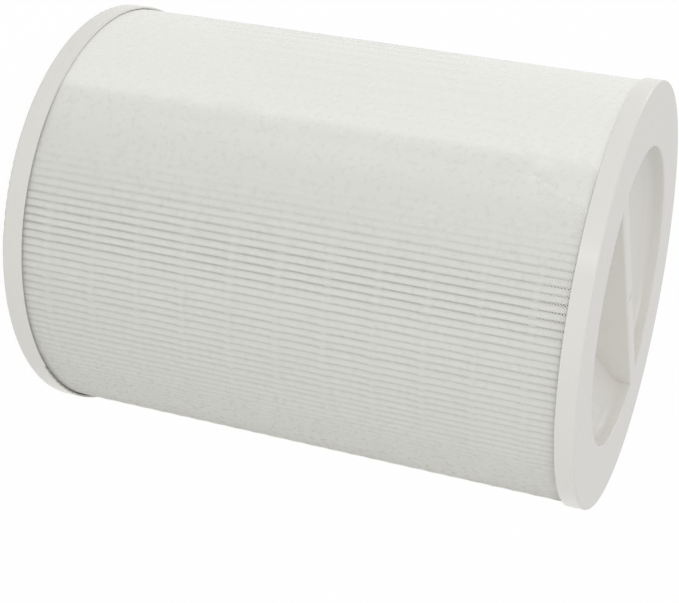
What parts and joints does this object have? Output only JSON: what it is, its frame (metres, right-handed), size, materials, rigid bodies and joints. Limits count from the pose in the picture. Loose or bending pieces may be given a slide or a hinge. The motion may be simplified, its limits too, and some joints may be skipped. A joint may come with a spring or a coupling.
{
  "type": "cylindrical pleated filter cartridge",
  "caption": "Cylindrical pleated air filter cartridge with moulded end rings, glue beads, a protective net, a gasketed outlet and a dished grip end with a finger bar.",
  "frame": {"origin": "centre of the outlet gasket's sealing face, on the cylinder's axis", "axes": "+Z along the cylinder's axis from the outlet to the grip cap, +X along the grip bar"},
  "size_m": [0.225, 0.225, 0.307],
  "materials": {
    "cap_plastic": "white injection-moulded ABS, satin",
    "ring_plastic": "white injection-moulded ABS, satin",
    "gasket_foam": "closed-cell foam, matte",
    "potting": "cured polyurethane adhesive",
    "filter_paper": "melt-blown fleece on a stiff nonwoven carrier, matte",
    "hot_melt": "off-white hot-melt adhesive, waxy",
    "outer_net": "fine white plastic net with a slight gloss",
    "carbon_felt": "black felt filled with carbon grains",
    "core_plastic": "white moulded polypropylene lattice"
  },
  "bodies": {
    "root": {"grip_end_cap": "cap_plastic", "outlet_end_ring": "ring_plastic", "outlet_gasket": "gasket_foam", "grip_end_potting": "potting", "outlet_end_potting": "potting", "pleated_media": "filter_paper", "pack_joint_strip": "hot_melt", "outer_net": "outer_net", "carbon_layer": "carbon_felt", "core_tube": "core_plastic", "outer_bead_01": "hot_melt", "outer_bead_02": "hot_melt", "outer_bead_03": "hot_melt", "outer_bead_04": "hot_melt", "outer_bead_05": "hot_melt", "outer_bead_06": "hot_melt", "outer_bead_07": "hot_melt", "outer_bead_08": "hot_melt", "outer_bead_09": "hot_melt", "outer_bead_10": "hot_melt", "outer_bead_11": "hot_melt", "inner_bead_01": "hot_melt", "inner_bead_02": "hot_melt", "inner_bead_03": "hot_melt", "inner_bead_04": "hot_melt", "inner_bead_05": "hot_melt", "inner_bead_06": "hot_melt", "inner_bead_07": "hot_melt", "inner_bead_08": "hot_melt", "inner_bead_09": "hot_melt", "inner_bead_10": "hot_melt", "inner_bead_11": "hot_melt"}
  },
  "joints": []
}
